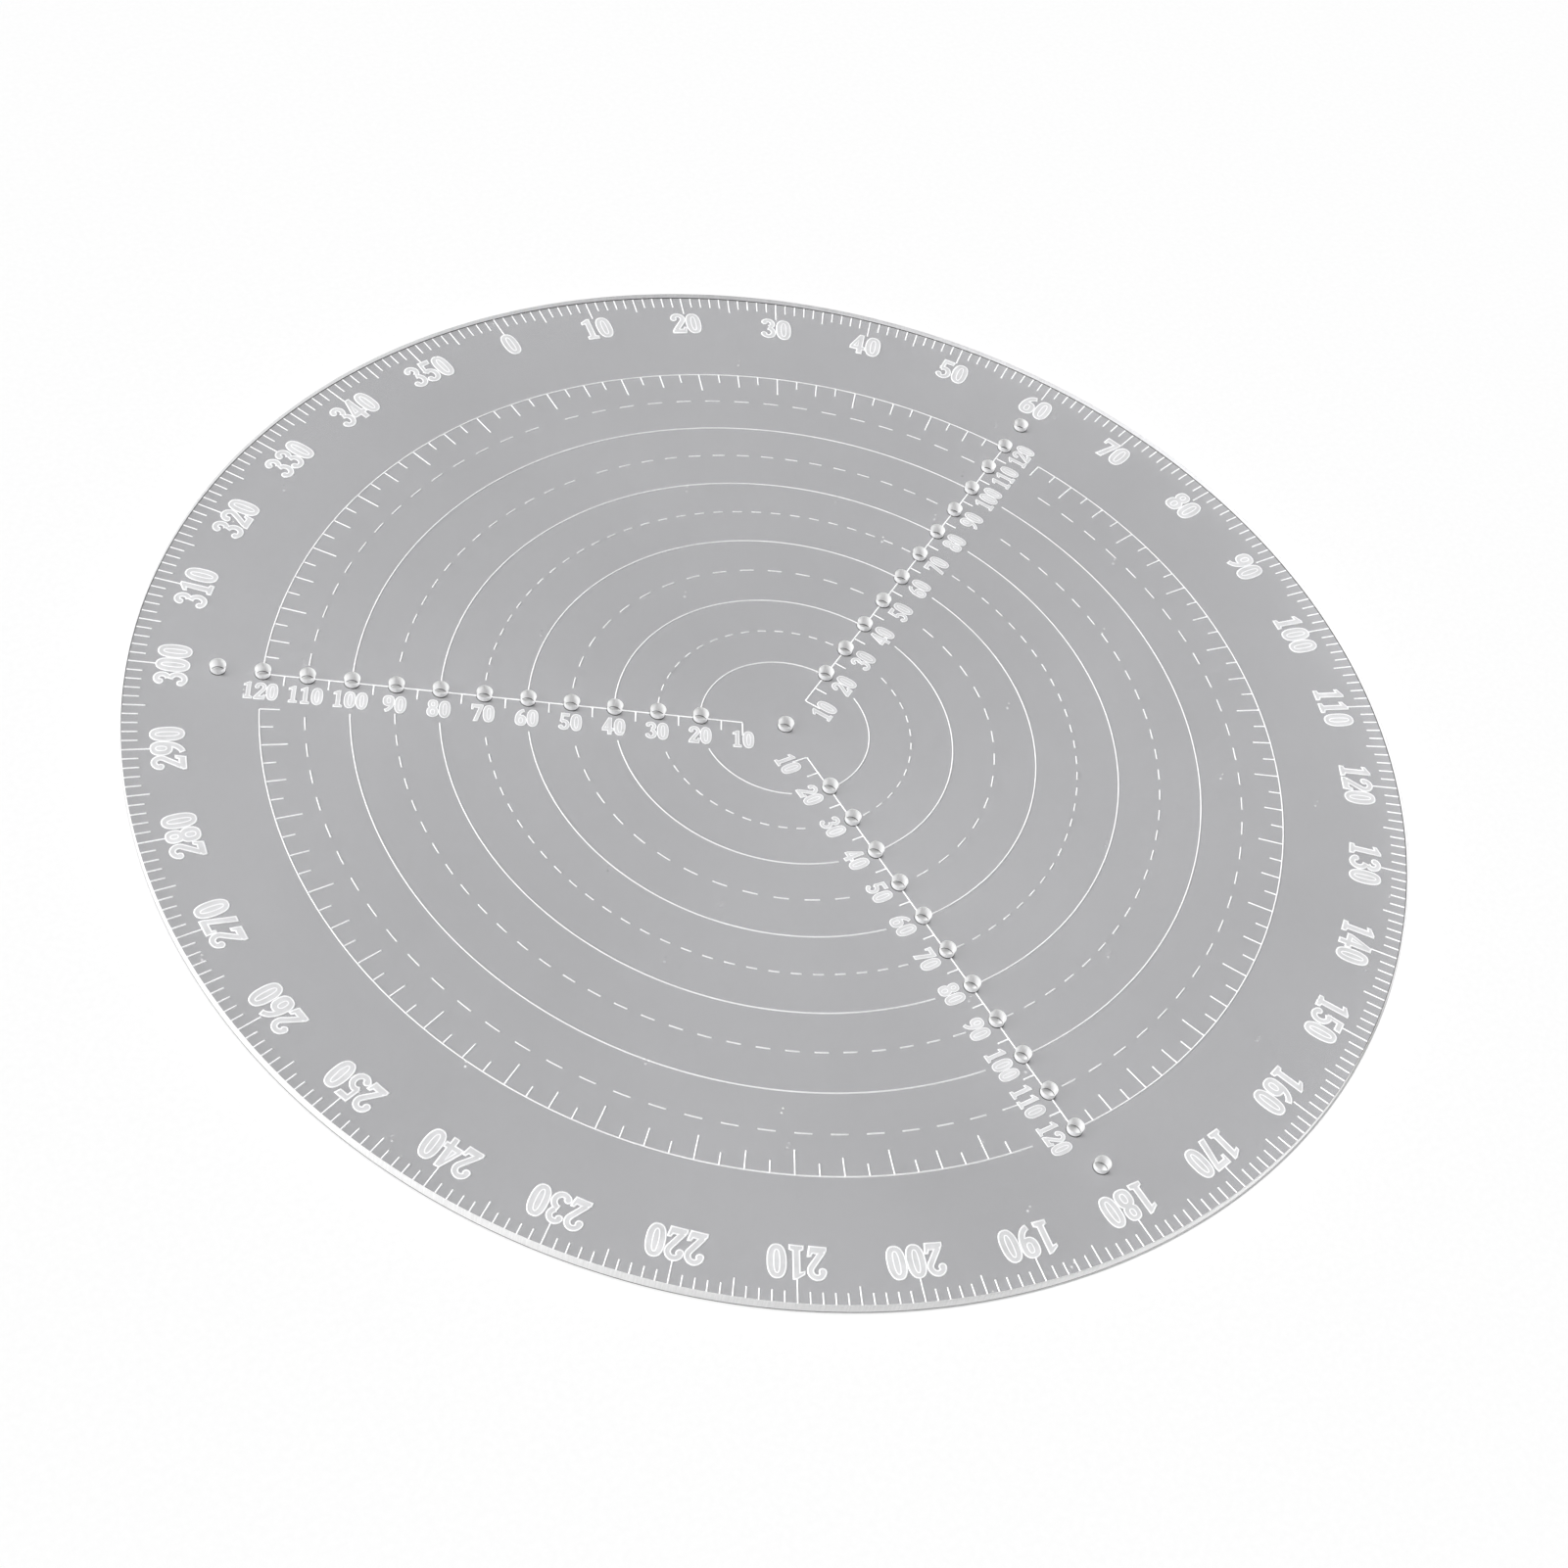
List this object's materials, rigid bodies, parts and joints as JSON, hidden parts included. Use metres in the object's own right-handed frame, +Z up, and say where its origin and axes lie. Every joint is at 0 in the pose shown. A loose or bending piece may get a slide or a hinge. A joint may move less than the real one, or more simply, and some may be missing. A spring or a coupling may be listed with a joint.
{
  "type": "circle template",
  "caption": "Flat clear acrylic disc with a degree scale round its rim, concentric circles and rows of scriber holes, for drawing circles and finding centres.",
  "frame": {"origin": "middle of the disc's underside", "axes": "+Z up through the sheet and out of the engraved face, +Y towards the 0 degree mark, +X towards the 90 degree mark"},
  "size_m": [0.3, 0.3, 0.0031],
  "materials": {
    "clear_acrylic": "polished clear cast acrylic sheet of a faint neutral grey, frosted where it is cut",
    "engraved_fill": "frosted white laser engraving"
  },
  "bodies": {
    "root": {"sheet": "clear_acrylic", "degree_ticks_1": "engraved_fill", "degree_ticks_5": "engraved_fill", "degree_ticks_10": "engraved_fill", "degree_numerals_000_to_080": "engraved_fill", "degree_numerals_090_to_170": "engraved_fill", "degree_numerals_180_to_260": "engraved_fill", "degree_numerals_270_to_350": "engraved_fill", "circle_020": "engraved_fill", "circle_030": "engraved_fill", "circle_040": "engraved_fill", "circle_050": "engraved_fill", "circle_060": "engraved_fill", "circle_070": "engraved_fill", "circle_080": "engraved_fill", "circle_090": "engraved_fill", "circle_100": "engraved_fill", "circle_110": "engraved_fill", "circle_120": "engraved_fill", "circle_120_ticks": "engraved_fill", "line_row_060": "engraved_fill", "line_row_180": "engraved_fill", "line_row_300": "engraved_fill", "ticks_row_060": "engraved_fill", "ticks_row_180": "engraved_fill", "ticks_row_300": "engraved_fill", "numerals_row_060": "engraved_fill", "numerals_row_180": "engraved_fill", "numerals_row_300": "engraved_fill"}
  },
  "joints": []
}
